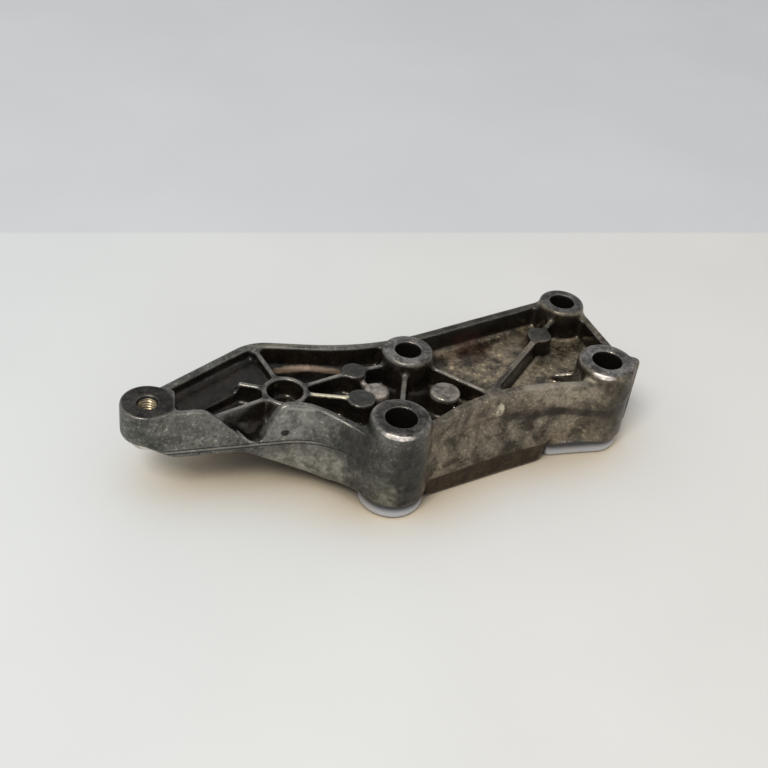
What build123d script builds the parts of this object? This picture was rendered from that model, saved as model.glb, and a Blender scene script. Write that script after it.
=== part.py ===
from build123d import *
from math import acos, atan2, cos, hypot, radians, sin, tan
import os

# Engine mounting bracket, one aluminium die casting: an open ribbed tray that stands on four
# bolt bosses, with an arm that ends in a threaded boss. Millimetres, +Z up. The origin is on
# the axis of the near left bolt hole, in the plane of the feet. +X runs to the near right hole.

# Bolt centres, measured from the near left hole
NEAR_LEFT = (0.0, 0.0)
NEAR_RIGHT = (85.96, 0.0)
FAR_LEFT = (21.4, 31.5)
FAR_RIGHT = (93.5, 37.25)
ARM_END = (-71.95, 37.25)

# Heights above the feet
BOSS_TOP = 35.0
RIM_DROP = 4.0
RIB_DROP = 4.7
FLOOR_DROP = 12.0
APRON_DROP = 8.2
PAD_DROP = 9.6
WEB_THICKNESS = 5.0
PARTING_HEIGHT = 20.5
BAND_RISE = 2.6
SKIRT_BOTTOM = 6.0
SILL_EDGE = 7.5
SILL_BOTTOM = 0.3
NOTCH_TOP = 9.0
ARM_UNDERSIDE = 17.6
ARM_BOSS_BOTTOM = 22.5
ARM_BOSS_RISE = 5.0
NEAR_EDGE_BEND = 8.4
NEAR_EDGE_DIP = 0.7
LOWER_RIB_BOTTOM = 9.0

# Holes, bosses and feet, as radii unless they are called bores
LARGE_BORE = 10.5
SMALL_BORE = 9.0
THREAD_BORE = 6.0
THREAD_MOUTH = 8.2
THREAD_POCKET = 10.6
BORE_CHAMFER = 0.4
NEAR_BOSS = 10.4
FAR_LEFT_BOSS = 9.2
FAR_RIGHT_BOSS = 8.6
ARM_BOSS = 8.75
ARM_BOSS_ROUND = 1.8
ARM_FACE_CHAMFER = 0.35
ARM_LOBE_REACH = 8.8
ARM_LOBE_ANGLE = 15.0
ARM_LOBE_RADIUS = 1.6
LUG_REACH = 10.3
LUG_ANGLE = -20.0
LUG_RADIUS = 2.1
LUG_BOTTOM = 8.5
LUG_DROP = 0.1
LUG_EDGE = 0.35
LUG_DRAFT = 0.5
NEAR_FOOT = 10.9
FAR_FOOT = 9.0
PAD_FOOT = 10.1
PAD_NOSE = (66.0, -2.2)
PAD_NOSE_RADIUS = 2.4
PAD_ROOT_REACH = 3.9
PAD_ROOT_ANGLE = 247.0
PAD_SETBACK = 0.4
FOOT_CHAMFER = 0.4
FACE_EDGE_WIDTH = 1.3
FACE_EDGE_DEPTH = 2.2
FACE_EDGE_SHOULDER = 0.3
BOSS_DRAFT = 2.7
SHELF_STEP = 0.5

# Tray walls
WALL = 3.1
LOWER_WALL = 3.6
WALL_FLARE = 8.5
INNER_DRAFT = 4.0
BOSS_PROUD = 0.3
CORNER_RADIUS = 2.0
CORNER_CLEARANCE = 0.2
FLOOR_FILLET = 2.2
RIM_FILLET = 0.5
RIM_CREST_DROP = 0.7
RIM_DIP_RISE = 0.8
RIM_FALL = 0.4
RIM_END_FALL = 5.5
LOFT_TOP_DROP = 0.4

# Ribs, cast discs and the ring
RIB_WIDTH = 1.7
BOSS_RIB_WIDTH = 2.0
WIDE_RIB_WIDTH = 2.5
WINDOW_RIB_WIDTH = 4.0
RIB_DRAFT = 3.5
RIB_EDGE = 0.55
FOOT_FILLET = 1.4
FOOT_FLARE = 0.7
DISC_EDGE = 0.5
BITE = 0.05
OVERLAP = 1.0
CUT_SPAN = 320.0
EDGE_CUT_DEPTH = 10.0
RING_CENTRE = (-26.0, 31.6)
RING_RADIUS = 7.9
RING_BORE = 6.0
RING_DEPTH = 7.0
RING_PROUD = 0.35
DISC_PROUD = 0.15
WINDOW_RISE = 1.2

rim_height = BOSS_TOP - RIM_DROP
rib_height = BOSS_TOP - RIB_DROP
floor_height = BOSS_TOP - FLOOR_DROP
ring_height = rib_height + RING_PROUD
web_underside = floor_height - WEB_THICKNESS
window_floor = PARTING_HEIGHT + WINDOW_RISE
rim_dip = PARTING_HEIGHT + RIM_DIP_RISE
rim_crest = BOSS_TOP - RIM_CREST_DROP
band_bottom = PARTING_HEIGHT + BAND_RISE


def rolling_outline(stations, z):
    """Face inside the closed line that is tangent to each circle in turn, counterclockwise.

    A station is (x, y, radius). The line passes outside a circle of positive radius and bends
    inward round a circle of negative radius.
    """
    normals = []
    for (x1, y1, r1), (x2, y2, r2) in zip(stations, stations[1:] + stations[:1]):
        heading = atan2(y2 - y1, x2 - x1)
        normals.append(heading - acos((r1 - r2) / hypot(x2 - x1, y2 - y1)))
    arcs = []
    for index, (x, y, r) in enumerate(stations):
        start = normals[index - 1]
        turn = (normals[index] - start) % radians(360)
        if r < 0:
            turn = turn - radians(360)
        angles = [start, start + turn / 2, start + turn]
        arcs.append([(x + r * cos(angle), y + r * sin(angle)) for angle in angles])
    edges = []
    for arc, following in zip(arcs, arcs[1:] + arcs[:1]):
        edges.append(ThreePointArc(*arc))
        edges.append(Line(arc[2], following[0]))
    return Pos(0, 0, z) * make_face(edges)


def beside(centre, distance, angle):
    """Point at a distance from a centre, at an angle in degrees from +X."""
    x, y = centre
    return (x + distance * cos(radians(angle)), y + distance * sin(radians(angle)))


def boss_radius(top_radius, z):
    """Radius of a drafted boss at height z."""
    return top_radius + (BOSS_TOP - FACE_EDGE_DEPTH - z) * tan(radians(BOSS_DRAFT))


# Bends of the tray's outline at the rim: round the arm's end, inward beside the ring, inward
# along the far wall and outward at the shoulder behind the ring
ARM_BEND = 7.45
NEAR_BEND_CENTRE = (-38.9, -8.4)
NEAR_BEND = 28.8
FAR_BEND_CENTRE = (31.0, 132.0)
FAR_BEND = 88.7
SHOULDER_CENTRE = (-26.5, 43.4)
SHOULDER = 16.0

# Direction from the near left boss to the small corner beside the near right wall, in degrees
LEFT_CORNER_ANGLE = -31.0

# The near right wall bows inward between its two bosses. Each row says where the middle of the
# bow is, across the bracket, the bow's radius, and the direction in degrees from the near right
# boss to the small corner beside it: at the top, at the rim band's lower edge, in the groove at
# the parting line, at the sill's edge and at its foot.
BOW_X = 41.0
BOW_AT_TOP = (1.8, 73.0, 222.0)
BOW_AT_BAND = (0.1, 70.5, 222.0)
BOW_AT_GROOVE = (1.0, 69.5, 222.0)
BOW_AT_SILL = (-4.3, 300.0, 212.0)
BOW_AT_FOOT = (-5.2, 300.0, 212.0)
BOW_ROWS = [(BOSS_TOP, *BOW_AT_TOP), (band_bottom, *BOW_AT_BAND), (PARTING_HEIGHT, *BOW_AT_GROOVE),
            (SILL_EDGE, *BOW_AT_SILL), (0.0, *BOW_AT_FOOT)]


def bow_at(z):
    """Middle, radius and corner direction of the near right wall's bow at height z."""
    for (z1, y1, r1, a1), (z2, y2, r2, a2) in zip(BOW_ROWS, BOW_ROWS[1:]):
        if z2 <= z <= z1:
            share = (z1 - z) / (z1 - z2)
            curvature = 1 / r1 + share * (1 / r2 - 1 / r1)
            return y1 + share * (y2 - y1), 1 / curvature, a1 + share * (a2 - a1)
    raise ValueError(z)


def tray_stations(z, inset=0.0):
    """Circles that the tray's outer line rolls round at height z, moved inward by inset."""
    flare = (rim_height - max(z, PARTING_HEIGHT)) * tan(radians(WALL_FLARE))
    near = boss_radius(NEAR_BOSS, z) - BOSS_PROUD
    shelf = SHELF_STEP if z <= PARTING_HEIGHT else 0.0
    far = boss_radius(FAR_RIGHT_BOSS, z) - BOSS_PROUD
    corner_reach = near + BOSS_PROUD + CORNER_RADIUS + CORNER_CLEARANCE
    bow_y, bow_radius, corner_angle = bow_at(z)
    rows = [
        (*ARM_END, ARM_BEND + flare),
        (*NEAR_BEND_CENTRE, -NEAR_BEND + flare),
        (*NEAR_LEFT, near),
        (*beside(NEAR_LEFT, corner_reach, LEFT_CORNER_ANGLE), -CORNER_RADIUS),
        (BOW_X, bow_y - bow_radius, -bow_radius),
        (*beside(NEAR_RIGHT, corner_reach, corner_angle), -CORNER_RADIUS),
        (*NEAR_RIGHT, near - shelf),
        (*FAR_RIGHT, far),
        (*FAR_BEND_CENTRE, -FAR_BEND + flare),
        (*SHOULDER_CENTRE, SHOULDER + flare),
    ]
    return [(x, y, r - inset) for x, y, r in rows]


def tray_walls():
    """Outer shape of the tray and its skirt, flared down to the parting line and the sill."""
    heights = [BOSS_TOP - LOFT_TOP_DROP, band_bottom, PARTING_HEIGHT, SILL_EDGE, SILL_BOTTOM]
    sections = [rolling_outline(tray_stations(z), z) for z in heights]
    return loft(sections, ruled=True)


def upper_hollow():
    """The tray's inside, open upward, with drafted walls and a rounded floor edge."""
    draft = tan(radians(INNER_DRAFT))
    lower = WALL + (rim_height - floor_height) * draft
    upper = WALL - (BOSS_TOP + OVERLAP - rim_height) * draft
    sections = [
        rolling_outline(tray_stations(rim_height, lower), floor_height),
        rolling_outline(tray_stations(rim_height, upper), BOSS_TOP + OVERLAP),
    ]
    hollow = loft(sections, ruled=True)
    return fillet(hollow.edges().group_by(Axis.Z)[0], FLOOR_FILLET)


def space_in_skirt(top, wall, draft):
    """Space inside the skirt, up to a height, at a wall's distance from its outer surface."""
    sections = []
    for z in (top, SILL_EDGE, 0.0):
        inset = wall + z * tan(radians(draft))
        sections.append(rolling_outline(tray_stations(z, inset), z))
    return loft(sections, ruled=True)


# Side view of the near left wall's rim, from the arm to the near left boss: it dips into the
# window beside the ring, rises to a crest and falls to the boss. Rows are (x, height).
RIM_LINE = [(-110.0, rim_crest), (-56.5, rim_crest), (-42.8, rim_dip), (-39.0, rim_dip), (-32.6, rim_crest),
            (-24.0, rim_crest - RIM_FALL), (-14.5, rim_height - RIM_FALL), (12.0, rim_height - RIM_END_FALL)]
RIM_LINE_RADII = [6.0, 2.5, 2.5, 4.0, 14.0, 10.0]

# Where the near left wall's own rim ends and the level rim begins, in plan
NEAR_RIM_BORDER = [(-110.0, 37.25), (-72.0, 37.25), (-61.0, 32.8), (-45.0, 28.6), (-31.0, 25.0),
                   (-20.0, 19.0), (0.0, 3.0), (0.0, -40.0), (-110.0, -40.0)]


def near_left_rim_cut():
    """Everything above the dipping rim line of the near left wall."""
    line = FilletPolyline(*RIM_LINE, radius=RIM_LINE_RADII)
    top = BOSS_TOP + EDGE_CUT_DEPTH
    cap = Polyline(RIM_LINE[-1], (RIM_LINE[-1][0], top), (RIM_LINE[0][0], top), RIM_LINE[0])
    side = Plane.XZ * make_face([line, cap])
    above = extrude(side, amount=CUT_SPAN / 2, both=True)
    border = extrude(make_face(Polyline(*NEAR_RIM_BORDER, close=True)), top)
    return above & border


def level_rim_cut():
    """Everything above the level rim, apart from the near left wall."""
    align = (Align.CENTER, Align.CENTER, Align.MIN)
    slab = Pos(0, 0, rim_height) * Box(CUT_SPAN, CUT_SPAN, EDGE_CUT_DEPTH, align=align)
    border = extrude(make_face(Polyline(*NEAR_RIM_BORDER, close=True)), BOSS_TOP + 2 * EDGE_CUT_DEPTH)
    return slab - border


# Side views of the skirt's lower edge. Near side: under the arm, down to the near left boss,
# the sill that nearly reaches the table, and the notch before the near right boss.
arm_tip = ARM_BOSS_BOTTOM + ARM_BOSS_RISE
ARM_EDGE = [(-110.0, arm_tip), (-79.5, arm_tip), (-75.0, ARM_BOSS_BOTTOM), (-67.0, ARM_UNDERSIDE),
            (-45.0, ARM_UNDERSIDE)]
NEAR_EDGE = [*ARM_EDGE, (-28.0, NEAR_EDGE_BEND), (-19.5, SKIRT_BOTTOM - NEAR_EDGE_DIP),
             (-13.0, SKIRT_BOTTOM), (11.8, SKIRT_BOTTOM), (11.8, SILL_BOTTOM), (60.0, SILL_BOTTOM),
             (62.6, NOTCH_TOP), (69.5, NOTCH_TOP), (75.0, SKIRT_BOTTOM), (120.0, SKIRT_BOTTOM)]
FAR_EDGE = [*ARM_EDGE, (-12.0, SKIRT_BOTTOM), (120.0, SKIRT_BOTTOM)]
ARM_EDGE_RADII = [2.0, 4.0, 4.0, 7.0]
NEAR_EDGE_RADII = [*ARM_EDGE_RADII, 14.0, 4.0, 3.0, 2.0, 0.6, 0.6, 1.5, 3.0, 3.0]
FAR_EDGE_RADII = [*ARM_EDGE_RADII, 10.0]
EDGE_SPLIT_Y = 26.0
NEAR_SPAN = 40.0
FAR_SPAN = 90.0


def skirt_cut(edge, radii, near_y, far_y):
    """Everything below a lower edge line, between two places across the bracket."""
    line = FilletPolyline(*edge, radius=radii)
    base = -EDGE_CUT_DEPTH
    cap = Polyline(edge[-1], (edge[-1][0], base), (edge[0][0], base), edge[0])
    side = Plane.XZ.offset(-near_y) * make_face([line, cap])
    return extrude(side, amount=near_y - far_y)


def boss(centre, top_radius, foot_radius, step=0.0):
    """Drafted column with a rounded top edge, a machined face, a turned foot and, where it has
    one, a step inward below the rim band."""
    skirt_radius = boss_radius(top_radius, SKIRT_BOTTOM) - step
    waist_radius = boss_radius(top_radius, PARTING_HEIGHT) - step
    band_radius = boss_radius(top_radius, band_bottom)
    edge_bottom = BOSS_TOP - FACE_EDGE_DEPTH
    face_radius = top_radius - FACE_EDGE_WIDTH
    shoulder_radius = top_radius - FACE_EDGE_SHOULDER * FACE_EDGE_WIDTH
    shoulder = (shoulder_radius, BOSS_TOP - FACE_EDGE_SHOULDER * FACE_EDGE_DEPTH)
    outline = [
        Polyline((0, 0), (foot_radius - FOOT_CHAMFER, 0), (foot_radius, FOOT_CHAMFER),
                 (foot_radius, SKIRT_BOTTOM), (skirt_radius, SKIRT_BOTTOM), (waist_radius, PARTING_HEIGHT),
                 (band_radius, band_bottom), (top_radius, edge_bottom)),
        Spline((top_radius, edge_bottom), shoulder, (face_radius, BOSS_TOP)),
        Polyline((face_radius, BOSS_TOP), (0, BOSS_TOP), (0, 0)),
    ]
    return Pos(*centre, 0) * revolve(Plane.XZ * make_face(outline), Axis.Z)


def arm_boss():
    """Threaded boss at the arm's end, with a lobe towards the pocket."""
    lobe = beside(ARM_END, ARM_LOBE_REACH, ARM_LOBE_ANGLE)
    outline = rolling_outline([(*ARM_END, ARM_BOSS), (*lobe, ARM_LOBE_RADIUS)], ARM_BOSS_BOTTOM)
    column = extrude(outline, BOSS_TOP - ARM_BOSS_BOTTOM)
    column = fillet(column.edges().group_by(Axis.Z)[0], ARM_BOSS_ROUND)
    return chamfer(column.edges().group_by(Axis.Z)[-1], ARM_FACE_CHAMFER)


def foot_pad():
    """Pad that widens the near right boss's foot towards the sill. Above its turned foot it goes
    on up to the web, set back behind the wall's surface."""
    root = beside(NEAR_RIGHT, PAD_ROOT_REACH, PAD_ROOT_ANGLE)
    root_radius = PAD_FOOT - PAD_ROOT_REACH - BITE
    outline = rolling_outline([(*root, root_radius), (*PAD_NOSE, PAD_NOSE_RADIUS)], 0)
    foot = extrude(outline, SKIRT_BOTTOM)
    foot = chamfer(foot.edges().group_by(Axis.Z)[0], FOOT_CHAMFER)
    top = web_underside + OVERLAP
    return foot + (extrude(outline, top) & space_in_skirt(top, PAD_SETBACK, 0.0))


def lug():
    """Cast lug that stands proud of the near right boss."""
    x, y = beside(NEAR_RIGHT, LUG_REACH, LUG_ANGLE)
    rise = BOSS_TOP - LUG_DROP - LUG_BOTTOM
    base_radius = LUG_RADIUS + rise * tan(radians(LUG_DRAFT))
    nose = Pos(x, y, LUG_BOTTOM + rise / 2) * Cone(base_radius, LUG_RADIUS, rise)
    return chamfer(nose.edges().group_by(Axis.Z)[-1], LUG_EDGE)


def rib_section(plane, width, top, base):
    """Upright rib section: rounded top edges, drafted sides and a flared foot on the floor."""
    foot_level = floor_height - BITE
    half_top = width / 2
    half_foot = half_top + (top - foot_level) * tan(radians(RIB_DRAFT))
    wing = half_foot + FOOT_FILLET + BITE
    points = [(-wing, base), (wing, base), (wing, foot_level), (half_foot, foot_level), (half_top, top),
              (-half_top, top), (-half_foot, foot_level), (-wing, foot_level)]
    outline = make_face(Polyline(*points, close=True))
    feet = [v for v in outline.vertices() if abs(abs(v.X) - half_foot) < 1e-6]
    outline = fillet(feet, FOOT_FILLET)
    tops = [v for v in outline.vertices() if abs(v.Y - top) < 1e-6]
    outline = fillet(tops, RIB_EDGE)
    return plane * outline


def rib(start, end, width=RIB_WIDTH, top_start=rib_height, top_end=rib_height):
    """Rib between two places in plan, on the tray's floor."""
    dx = end[0] - start[0]
    dy = end[1] - start[1]
    length = hypot(dx, dy)
    heading = (dx / length, dy / length, 0)
    across = (-dy / length, dx / length, 0)
    base = web_underside + OVERLAP
    near = Plane(origin=(*start, 0), x_dir=across, z_dir=heading)
    if top_start == top_end:
        return extrude(rib_section(near, width, top_start, base), length)
    far = Plane(origin=(*end, 0), x_dir=across, z_dir=heading)
    sections = [rib_section(near, width, top_start, base), rib_section(far, width, top_end, base)]
    return loft(sections, ruled=True)


def disc(centre, radius, top=rib_height):
    """Round cast pad on the tray's floor, with a broken edge, a drafted side and a flared foot."""
    foot_level = floor_height - BITE
    foot_radius = radius + (top - foot_level) * tan(radians(RIB_DRAFT))
    outline = Polyline((0, web_underside + BITE), (foot_radius + FOOT_FLARE, web_underside + BITE),
                       (foot_radius + FOOT_FLARE, foot_level), (foot_radius, foot_level + FOOT_FLARE),
                       (radius, top - DISC_EDGE), (radius - DISC_EDGE, top), (0, top), close=True)
    return Pos(*centre, 0) * revolve(Plane.XZ * make_face(outline), Axis.Z)


def ring_recess():
    """Blind recess in the ring's middle, with a drafted wall and a broken mouth."""
    bottom = ring_height - RING_DEPTH
    draft = RING_DEPTH * tan(radians(RIB_DRAFT))
    mouth = RING_BORE + DISC_EDGE
    above = ring_height + BITE
    outline = Polyline((0, bottom), (RING_BORE - draft, bottom), (RING_BORE, ring_height - DISC_EDGE),
                       (mouth, ring_height), (mouth, above), (0, above), close=True)
    return Pos(*RING_CENTRE, 0) * revolve(Plane.XZ * make_face(outline), Axis.Z)


def bolt_hole(centre, bore):
    """Through hole with a small chamfer at the face."""
    radius = bore / 2
    above = BORE_CHAMFER + OVERLAP
    top = BOSS_TOP + OVERLAP
    points = [(0, -OVERLAP), (radius, -OVERLAP), (radius, BOSS_TOP - BORE_CHAMFER),
              (radius + above, top), (0, top)]
    return Pos(*centre, 0) * revolve(Plane.XZ * make_face(Polyline(*points, close=True)), Axis.Z)


def thread_hole():
    """Through hole at the thread's outer diameter, with a countersunk mouth and a pocket below."""
    radius = THREAD_BORE / 2
    mouth = THREAD_MOUTH / 2
    pocket = THREAD_POCKET / 2
    sink = mouth - radius
    top = BOSS_TOP + OVERLAP
    points = [(0, 0), (pocket, 0), (pocket, ARM_BOSS_BOTTOM), (radius, ARM_BOSS_BOTTOM),
              (radius, BOSS_TOP - sink), (mouth, BOSS_TOP), (mouth, top), (0, top)]
    return Pos(*ARM_END, 0) * revolve(Plane.XZ * make_face(Polyline(*points, close=True)), Axis.Z)


# The window beside the ring is deeper than the rest of the tray, level with the dip in the rim
WINDOW = [(-58.0, 22.0), (-53.0, 28.3), RING_CENTRE, (-27.0, 14.0), (-58.0, 14.0)]

# The apron is the raised floor between the arm and the ring. It ends in a rounded step.
APRON = [(-54.5, 22.0), (-54.0, 36.0), (-46.5, 38.2), (-39.3, 40.3), RING_CENTRE, (-25.6, 62.0),
         (-82.0, 62.0), (-82.0, 22.0)]
APRON_STEP_FILLET = 1.6

# Cast discs, as (centre, radius), and the low pad
RING_RIB_DISC = (1.2, 33.2)
NEAR_DISC = (-4.0, 18.7)
WALL_DISC = (24.8, 11.2)
FAR_DISC = (76.8, 27.5)
DISCS = [(RING_RIB_DISC, 4.4), (NEAR_DISC, 5.0), (WALL_DISC, 5.3), (FAR_DISC, 4.6)]
LOW_PAD = (4.6, 22.6)
LOW_PAD_RADIUS = 4.6
SILL_RIB_START = (24.2, 31.5)
SILL_END = (40.3, 2.2)
WIDE_RIB_START = (36.0, 2.9)

# The gusset falls from the near right boss to the wall beside it
GUSSET_END = (71.0, 9.5)
GUSSET_LOW = 26.0

# Ribs in the tray, as (start, end, width) and for the gusset its two heights
RIBS = [
    (RING_CENTRE, (-25.4, 57.0), BOSS_RIB_WIDTH),
    (RING_CENTRE, (-38.6, 41.4), BOSS_RIB_WIDTH),
    (RING_CENTRE, (-53.5, 28.2), RIB_WIDTH),
    (RING_CENTRE, RING_RIB_DISC, RIB_WIDTH),
    (RING_CENTRE, NEAR_DISC, RIB_WIDTH),
    (RING_CENTRE, (-27.2, 20.0), WINDOW_RIB_WIDTH),
    (RING_RIB_DISC, FAR_LEFT, RIB_WIDTH),
    (NEAR_LEFT, FAR_LEFT, BOSS_RIB_WIDTH),
    (SILL_RIB_START, SILL_END, RIB_WIDTH),
    (WIDE_RIB_START, FAR_DISC, WIDE_RIB_WIDTH),
    (FAR_DISC, FAR_RIGHT, BOSS_RIB_WIDTH),
    (NEAR_RIGHT, GUSSET_END, RIB_WIDTH, rib_height, GUSSET_LOW),
]

# Ribs that go on below the web between the columns
LOWER_SILL_END = (39.2, 4.2)
LOWER_WIDE_START = (38.1, 4.2)
LOWER_RIBS = [(NEAR_LEFT, FAR_LEFT), (SILL_RIB_START, LOWER_SILL_END), (LOWER_WIDE_START, FAR_RIGHT)]


# A rim face looks upward by at least this share, and a fillet stops this far from a boss. The
# floor's edge fillet lies in the lowest share of its own radius above the floor.
RIM_FACING = 0.4
BOSS_MARGIN = 0.6
FLOOR_BAND = 0.4


def rim_edges(tray):
    """Edges where the rim meets the walls, apart from those that a boss covers."""
    found = {}
    for face in tray.faces():
        middle = face.center()
        is_floor = floor_height - BITE < middle.Z < floor_height + FLOOR_BAND * FLOOR_FILLET
        if middle.Z < PARTING_HEIGHT or is_floor or face.normal_at(middle).Z < RIM_FACING:
            continue
        for edge in face.edges():
            place = edge @ 0.5
            found.setdefault((round(place.X, 2), round(place.Y, 2), round(place.Z, 2)), []).append(edge)
    border = [edges[0] for edges in found.values() if len(edges) == 1]
    return [edge for edge in border if not any(
        hypot(v.X, v.Y) < NEAR_BOSS + BOSS_MARGIN or hypot(v.X - ARM_END[0], v.Y - ARM_END[1]) < ARM_BOSS
        for v in edge.vertices())]


def tray():
    """Walls, floor and skirt, with the rim's rounded edges."""
    walls = tray_walls() - upper_hollow() - near_left_rim_cut() - level_rim_cut()
    walls = fillet(rim_edges(walls), RIM_FILLET)
    window = Pos(0, 0, window_floor - floor_height) * upper_hollow()
    window = window & extrude(make_face(Polyline(*WINDOW, close=True)), floor_height + OVERLAP)
    skirt = skirt_cut(NEAR_EDGE, NEAR_EDGE_RADII, -NEAR_SPAN, EDGE_SPLIT_Y)
    skirt = skirt + skirt_cut(FAR_EDGE, FAR_EDGE_RADII, EDGE_SPLIT_Y, FAR_SPAN)
    return walls - window - space_in_skirt(web_underside, LOWER_WALL, INNER_DRAFT) - skirt


def apron():
    """Raised floor between the arm and the ring, with a rounded step at its edge."""
    plan = make_face(Polyline(*APRON, close=True))
    bottom = web_underside + OVERLAP
    block = extrude(Pos(0, 0, bottom) * plan, BOSS_TOP - APRON_DROP - bottom)
    return fillet(block.edges().group_by(Axis.Z)[-1], APRON_STEP_FILLET)


def lower_rib(start, end):
    """Rib below the web, between two columns."""
    length = hypot(end[0] - start[0], end[1] - start[1])
    heading = ((end[0] - start[0]) / length, (end[1] - start[1]) / length, 0)
    across = (-heading[1], heading[0], 0)
    top = web_underside + OVERLAP
    half_top = RIB_WIDTH / 2 + (top - LOWER_RIB_BOTTOM) * tan(radians(RIB_DRAFT))
    half_bottom = RIB_WIDTH / 2
    bottom = LOWER_RIB_BOTTOM
    points = [(-half_bottom, bottom), (half_bottom, bottom), (half_top, top), (-half_top, top)]
    plane = Plane(origin=(*start, 0), x_dir=across, z_dir=heading)
    return extrude(plane * make_face(Polyline(*points, close=True)), length)


def bracket():
    """The whole casting with its machined holes."""
    floor_work = apron() + [rib(*row) for row in RIBS]
    floor_work = floor_work + [disc(*row, rib_height + DISC_PROUD) for row in DISCS]
    floor_work = floor_work + disc(RING_CENTRE, RING_RADIUS, ring_height)
    floor_work = floor_work + disc(LOW_PAD, LOW_PAD_RADIUS, BOSS_TOP - PAD_DROP)
    casting = tray() + (floor_work & inside_walls())
    casting = casting + [lower_rib(*row) for row in LOWER_RIBS]
    casting = casting + foot_pad() + boss(NEAR_RIGHT, NEAR_BOSS, PAD_FOOT, SHELF_STEP)
    casting = casting + boss(NEAR_LEFT, NEAR_BOSS, NEAR_FOOT)
    casting = casting + boss(FAR_LEFT, FAR_LEFT_BOSS, FAR_FOOT) + boss(FAR_RIGHT, FAR_RIGHT_BOSS, FAR_FOOT)
    casting = casting + arm_boss() + lug()
    casting = casting - ring_recess() - thread_hole()
    for centre, bore in ((NEAR_LEFT, LARGE_BORE), (NEAR_RIGHT, LARGE_BORE),
                         (FAR_LEFT, SMALL_BORE), (FAR_RIGHT, SMALL_BORE)):
        casting = casting - bolt_hole(centre, bore)
    return casting


def inside_walls():
    """Space inside the middle of the tray's walls, which trims what stands on the floor."""
    face = rolling_outline(tray_stations(rim_height, WALL / 2), web_underside)
    return extrude(face, BOSS_TOP - web_underside)


os.makedirs("parts", exist_ok=True)
export_step(bracket(), "parts/bracket_casting.step")
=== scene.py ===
import bmesh
import bpy
import numpy as np
from mathutils import Matrix, Vector


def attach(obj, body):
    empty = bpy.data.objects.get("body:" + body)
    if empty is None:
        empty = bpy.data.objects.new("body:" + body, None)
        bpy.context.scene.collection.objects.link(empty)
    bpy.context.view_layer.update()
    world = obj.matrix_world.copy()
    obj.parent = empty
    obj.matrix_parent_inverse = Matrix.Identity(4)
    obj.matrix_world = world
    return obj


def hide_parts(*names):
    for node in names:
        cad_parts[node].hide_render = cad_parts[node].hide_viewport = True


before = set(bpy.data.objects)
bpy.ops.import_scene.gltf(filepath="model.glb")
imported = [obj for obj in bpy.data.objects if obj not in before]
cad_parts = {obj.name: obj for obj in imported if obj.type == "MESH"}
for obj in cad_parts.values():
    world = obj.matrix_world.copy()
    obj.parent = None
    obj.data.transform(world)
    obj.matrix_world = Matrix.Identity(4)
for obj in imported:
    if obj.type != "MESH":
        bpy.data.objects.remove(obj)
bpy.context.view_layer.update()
scene = bpy.context.scene

# Camera and lamps: a small product studio with white walls and one soft box above, to the left.
# The camera stands at the near left of the bracket and looks down on it.
MM = 0.001
CAMERA_PLACE = (-176.85, -240.61, 271.55)
CAMERA_RIGHT = (0.8604, -0.4969, 0.1138)
CAMERA_UP = (0.2238, 0.5693, 0.7910)
CAMERA_BACK = (-0.4578, -0.6551, 0.6010)
LENS_MM = 55.31
SENSOR_MM = 36.0
NEAREST_VIEW = 0.01

camera_data = bpy.data.cameras.new("camera")
camera_data.lens = LENS_MM
camera_data.sensor_width = SENSOR_MM
camera_data.clip_start = NEAREST_VIEW
camera = bpy.data.objects.new("camera", camera_data)
scene.collection.objects.link(camera)
turn = Matrix((CAMERA_RIGHT, CAMERA_UP, CAMERA_BACK)).transposed().to_4x4()
camera.matrix_world = Matrix.Translation(Vector(CAMERA_PLACE) * MM) @ turn
scene.camera = camera

ROOM_COLOUR = (0.94, 0.965, 1.0, 1.0)
ROOM_STRENGTH = 0.60
scene.view_settings.view_transform = "Standard"
room = bpy.data.worlds.new("white room")
room.use_nodes = True
room.node_tree.nodes["Background"].inputs["Color"].default_value = ROOM_COLOUR
room.node_tree.nodes["Background"].inputs["Strength"].default_value = ROOM_STRENGTH
scene.world = room

SOFT_BOX_SIZE = 0.36
SOFT_BOX_DISTANCE = 1.3
SOFT_BOX_TOWARD = (-0.50, -0.30, 0.79)
SOFT_BOX_WATTS = 8.0
SOFT_BOX_COLOUR = (1.0, 0.965, 0.90)
box_data = bpy.data.lights.new("soft box", "AREA")
box_data.shape = "SQUARE"
box_data.size = SOFT_BOX_SIZE
box_data.energy = SOFT_BOX_WATTS
box_data.color = SOFT_BOX_COLOUR
soft_box = bpy.data.objects.new("soft box", box_data)
scene.collection.objects.link(soft_box)
soft_box.location = Vector(SOFT_BOX_TOWARD).normalized() * SOFT_BOX_DISTANCE
soft_box.rotation_euler = Vector(SOFT_BOX_TOWARD).to_track_quat("Z", "Y").to_euler()

# Table and paper: a pale laminate table, and beyond its far edge a bluish grey paper sheet.
# Both are one flat stage sheet, and the material changes colour along the table's edge.
EDGE_POINT = (87.4, 154.9)
EDGE_ALONG = (0.9466, -0.3225)
SHEET_REACH = 2400.0
SHEET_STEPS = 24
TABLE_LEFT = (0.785, 0.805, 0.800, 1.0)
TABLE_RIGHT = (0.825, 0.805, 0.765, 1.0)
TABLE_TOWARD = (0.866, -0.5, 0.0)
PAPER_COLOUR = (0.72, 0.725, 0.735, 1.0)
# Painted shadow on the table round the bracket: warm at its border, dark under the bracket.
WARM_SHADOW_COLOUR = (0.70, 0.555, 0.365, 1.0)
UNDER_SHADOW_COLOUR = (0.24, 0.215, 0.18, 1.0)
EDGE_SOFTNESS = 1.5
TABLE_TURN = (-0.25, 0.20)
SHADOW_REACH = 32.0
WARM_SHADOW_OPENNESS = (0.35, 0.95)
UNDER_SHADOW_OPENNESS = (0.20, 0.62)
OPENNESS_SAMPLES = 12
CLOUD_SCALE = 9.0
CLOUD_DETAIL = 3.0
CLOUD_LEVELS = (0.3, 0.7)
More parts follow.
